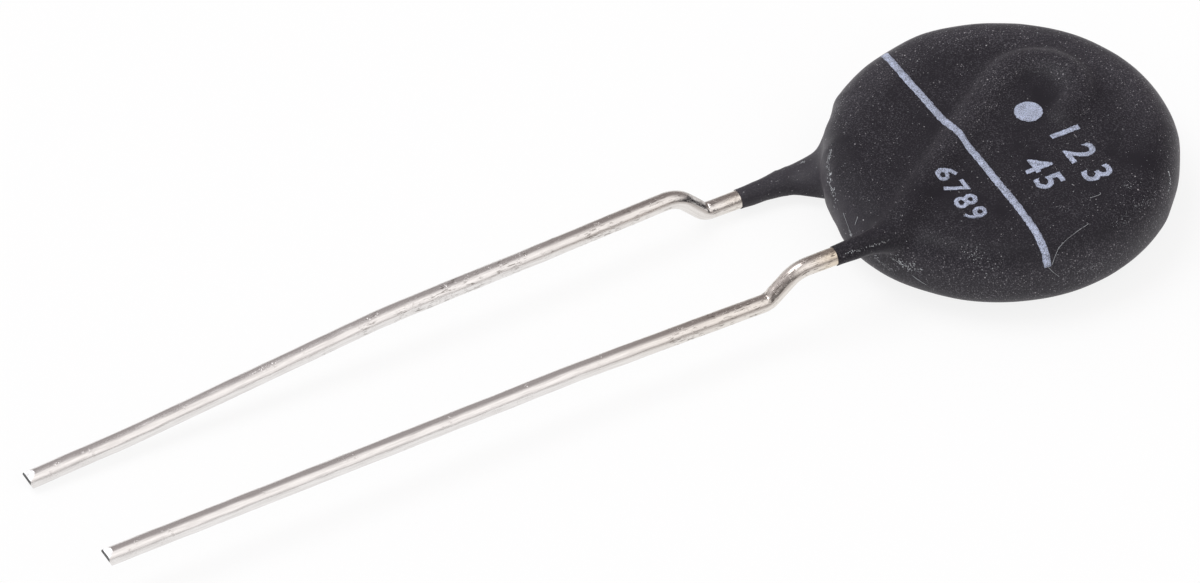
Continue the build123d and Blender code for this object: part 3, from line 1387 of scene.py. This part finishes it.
@dataclass
class Studio:
    """Floor, world and camera."""

    pixels_wide: float = 1200.0
    pixels_per_mm: float = 23.3
    azimuth: float = -28.3
    elevation: float = 44.3
    aim: tuple[float, float, float] = (1.813, 4.681, -1.932)
    distance: float = 1.0
    sensor: float = 36.0
    floor_size: float = 3.0
    floor_drop: float = 0.002 * MM
    floor_glow: float = 0.85
    dim: Colour = (0.40, 0.37, 0.37, 1.0)
    front_wall: Patch = Patch((0.0, -0.96, -0.28), 80.0, 20.0, (0.1, 0.093, 0.093, 1.0))
    front_light: Patch = Patch((0.339, -0.63, 0.698), 56.0, 6.0, (1.18, 1.15, 1.14, 1.0))
    left_wall: Patch = Patch((-0.65, 0.6, 0.45), 55.0, 15.0, (1.0, 0.98, 1.0, 1.0))
    key_light: Patch = Patch((-0.3, 0.3, 0.9), 24.0, 12.0, (4.6, 4.6, 4.7, 1.0))

    def camera(self) -> None:
        """Places the camera at the photograph's angle and framing."""
        a, e = math.radians(self.azimuth), math.radians(self.elevation)
        back = Vector((math.sin(a) * math.cos(e), -math.cos(a) * math.cos(e), math.sin(e)))
        data = bpy.data.cameras.new("camera")
        width = self.pixels_wide / self.pixels_per_mm * MM
        data.sensor_width = self.sensor
        data.lens = self.sensor * self.distance / width
        data.clip_start = 0.01
        data.clip_end = 20.0
        camera = add_object("camera", data)
        camera.location = Vector(self.aim) * MM + back * self.distance
        camera.rotation_mode = "QUATERNION"
        camera.rotation_quaternion = (-back).to_track_quat("-Z", "Y")
        bpy.context.scene.camera = camera

    def floor(self) -> None:
        """Lays a pale floor that keeps the part's shadow."""
        bm = bmesh.new()
        bmesh.ops.create_grid(bm, x_segments=8, y_segments=8, size=self.floor_size)
        mesh = to_mesh("floor", bm)
        material, sheet, shader = new_material("pale_floor")
        sheet.fill(shader, Base_Color=grey(0.9), Roughness=0.9, Specular_IOR_Level=0.1)
        path = sheet.add("ShaderNodeLightPath")
        seen = sheet.math("MAXIMUM", path.outputs["Is Camera Ray"], path.outputs["Is Glossy Ray"])
        seen = sheet.math("MAXIMUM", seen, path.outputs["Is Transmission Ray"])
        glow = sheet.add("ShaderNodeEmission", Color=(1.0, 1.0, 1.0, 1.0), Strength=1.0)
        blend = sheet.add("ShaderNodeMixShader", Fac=sheet.times(seen, self.floor_glow))
        sheet.link(shader.outputs["BSDF"], blend.inputs[1])
        sheet.link(glow.outputs["Emission"], blend.inputs[2])
        output = next(n for n in material.node_tree.nodes if n.type == "OUTPUT_MATERIAL")
        sheet.link(blend.outputs["Shader"], output.inputs["Surface"])
        mesh.materials.append(material)
        piece = add_object("floor", mesh)
        piece.location.z = -self.floor_drop

    def world(self) -> None:
        """Sets a dim studio round the part, with soft lights in front, to the left and above."""
        world = bpy.data.worlds.new("studio")
        world.use_nodes = True
        bpy.context.scene.world = world
        sheet = NodeSheet(world.node_tree)
        background = next(n for n in world.node_tree.nodes if n.type == "BACKGROUND")
        direction = sheet.add("ShaderNodeTexCoord").outputs["Generated"]
        colour = self.dim
        for patch in (self.front_wall, self.front_light, self.left_wall, self.key_light):
            colour = sheet.mix(self.glow(sheet, direction, patch), colour, patch.colour)
        camera = sheet.add("ShaderNodeLightPath").outputs["Is Camera Ray"]
        sheet.link(sheet.mix(camera, colour, grey(1.0)), background.inputs["Color"])
        background.inputs["Strength"].default_value = 1.0

    def glow(self, sheet: NodeSheet, direction: Socket, patch: Patch) -> Socket:
        """Adds a soft round patch to the world.

        Args:
            sheet: the world's node sheet.
            direction: the direction looked in.
            patch: the patch.

        Returns:
            The patch's share, from 0 to 1.
        """
        spot = sheet.add("ShaderNodeVectorMath", operation="DOT_PRODUCT")
        sheet.link(direction, spot.inputs[0])
        spot.inputs[1].default_value = Vector(patch.towards).normalized()
        edges = [math.cos(math.radians(angle)) for angle in (patch.outer, patch.inner)]
        return sheet.ramp(spot.outputs["Value"], *edges)

    def build(self) -> None:
        """Builds the whole stage."""
        self.camera()
        self.floor()
        self.world()
        bpy.context.scene.view_settings.view_transform = "Standard"


PLANS = (
    LeadPlan(
        name="front_wire",
        node="front_lead",
        face=Face.FRONT,
        across=-3.015,
        sleeve_length=2.4,
        sleeve_extra=0.04,
        bare_length=1.85,
        seat_level=0.17,
        radii=(40.0, 40.0, 0.7, 1.4, 2.0, 1.8, 1.8),
        bends=((22.0, 0.09, 0.17), (31.0, -0.09, 0.17), (44.95, -0.344, 0.17)),
        dents=(
            Dent(-12.8, 95.0, 0.09, 0.13, 40.0),
            Dent(-12.35, 130.0, 0.03, 0.3, 30.0),
            Dent(-12.55, 100.0, -0.03, 0.1, 40.0),
        ),
        worn_from=(-24.0, -13.5),
        worn=1.0,
        golden=0.68,
    ),
    LeadPlan(
        name="back_wire",
        node="back_lead",
        face=Face.BACK,
        across=4.535,
        sleeve_length=3.8,
        sleeve_extra=0.02,
        bare_length=1.65,
        seat_level=0.12,
        radii=(40.0, 40.0, 40.0, 1.4, 0.7, 2.0, 1.8, 1.8),
        bends=((21.0, -0.3, 0.1), (27.5, -0.39, -0.03), (40.0, -0.565, -1.31), (44.95, -0.589, -1.642)),
        dents=(
            Dent(-11.95, 100.0, 0.11, 0.12, 40.0),
            Dent(-11.75, 120.0, -0.03, 0.1, 40.0),
            Dent(-12.5, 120.0, 0.02, 0.35, 30.0),
        ),
        worn_from=(-34.0, -25.0),
        worn=0.8,
        golden=0.28,
    ),
)
ROWS = (
    PrintRow("123", 2.52, (-1.3, -2.72, -4.16), 1.36),
    PrintRow("45", 0.47, (-2.5, -3.6), 1.28),
    PrintRow("6789", -3.27, (-1.22, -2.1, -2.98, -3.84), 1.06),
)
STRIPE = (
    (-1.79, 7.05, 1.33), (-1.89, 6.43, 1.6), (-1.86, 4.97, 1.69), (-1.77, 2.92, 1.71),
    (-1.73, 1.04, 1.98), (-1.65, 0.47, 2.01), (-1.55, -0.87, 1.73), (-1.51, -2.64, 1.72),
    (-1.47, -4.43, 1.69), (-1.52, -5.84, 1.66), (-1.65, -7.03, 1.37), (-1.73, -7.45, 0.88),
)
FIBRES = (
    (
        (0.71, -6.63, 1.63), (0.08, -6.77, 1.59), (-0.49, -6.92, 1.53),
        (-1.01, -7.1, 1.4), (-1.31, -7.3, 1.19), (-1.54, -7.47, 0.93),
    ),
    ((-1.73, -7.45, 0.88), (-1.56, -7.6, 0.63), (-1.33, -7.71, 0.36)),
    ((1.51, -5.35, 1.7), (1.77, -5.37, 1.7), (2.01, -5.37, 1.7), (2.03, -5.25, 1.7)),
    ((-7.77, -0.33, 0.78), (-7.82, -0.64, 0.65), (-7.85, -0.96, 0.47), (-7.85, -1.19, 0.25)),
    ((-7.5, -1.11, 1.11), (-7.61, -1.18, 0.96), (-7.7, -1.22, 0.79)),
    ((-6.62, -4.32, -0.02), (-6.38, -4.61, -0.24), (-6.17, -4.85, -0.38)),
    ((-7.09, -3.49, 0.5), (-6.95, -3.77, 0.38), (-6.72, -4.15, 0.35)),
)
RIM_DUST = (
    (-6.69, 2.94, 1.26), (-6.94, 2.66, 1.14), (-7.16, 2.35, 1.02), (-7.37, 1.78, 1.01),
    (-7.57, 1.33, 0.88), (-7.68, 0.78, 0.81), (-7.79, 0.57, 0.56),
)
DRIFTS = (
    Drift(0.09, 120, 0.021, RIM_DUST),
    Drift(0.04, 16, 0.022, ((-7.08, 4.71, -0.78), (-6.94, 4.61, -0.7))),
    Drift(0.05, 25, 0.025, ((-7.85, -1.1, 0.3), (-7.85, -1.19, 0.2))),
    Drift(0.12, 70, 0.013, ((-7.51, -2.59, 0.03), (-7.32, -3.12, -0.14), (-7.21, -3.36, -0.16))),
    Drift(0.13, 100, 0.018, ((-7.09, -3.49, 0.5), (-6.72, -4.15, 0.35), (-6.43, -4.51, 0.47))),
    Drift(0.22, 55, 0.014, ((-4.51, -5.42, 1.49), (-4.2, -6.18, 1.17), (-3.95, -6.53, 0.94))),
    Drift(0.13, 120, 0.008, ((4.3, -6.02, 1.23), (2.93, -6.63, 1.37), (1.7, -7.07, 1.35))),
    Drift(0.1, 35, 0.009, ((2.85, -5.28, 1.68), (3.29, -5.36, 1.67), (3.73, -5.37, 1.65))),
    Drift(0.05, 30, 0.022, ((5.65, -4.94, 1.12), (5.36, -5.56, 0.77), (5.14, -5.77, 0.74))),
    Drift(0.17, 90, 0.01, ((0.82, -7.8, 0.3), (-0.55, -7.81, 0.34), (-1.19, -7.74, 0.34))),
    Drift(0.03, 60, 0.015, ((-9.37, -3.37, 1.68), (-8.43, -3.43, 1.66), (-7.24, -3.48, 1.63))),
)


def main() -> None:
    """Builds the looks round the frame and reports each piece."""
    logging.basicConfig(level=logging.INFO, format="%(name)s: %(message)s")
    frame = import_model()
    Studio().build()
    coating = Coating(PLANS)
    wire_finishes = [finish.material() for finish in (TinnedFinish(), *SHEARED_FINISHES)]
    pieces = [coating.build(frame)]
    pieces += [LeadWire(plan).build(coating, wire_finishes) for plan in PLANS]
    pieces.append(Marking(ROWS, STRIPE).build(coating))
    pieces.append(Lint(FIBRES, DRIFTS).build(coating))
    for piece in pieces:
        log.info("%s has %d faces", piece.name, len(piece.data.polygons))
    for node, finish in INNER_FINISHES.items():
        frame["nodes"][node].material_slots[0].material = finish.material()
        log.info("%s gets its finish", node)


if __name__ == "__main__":
    main()
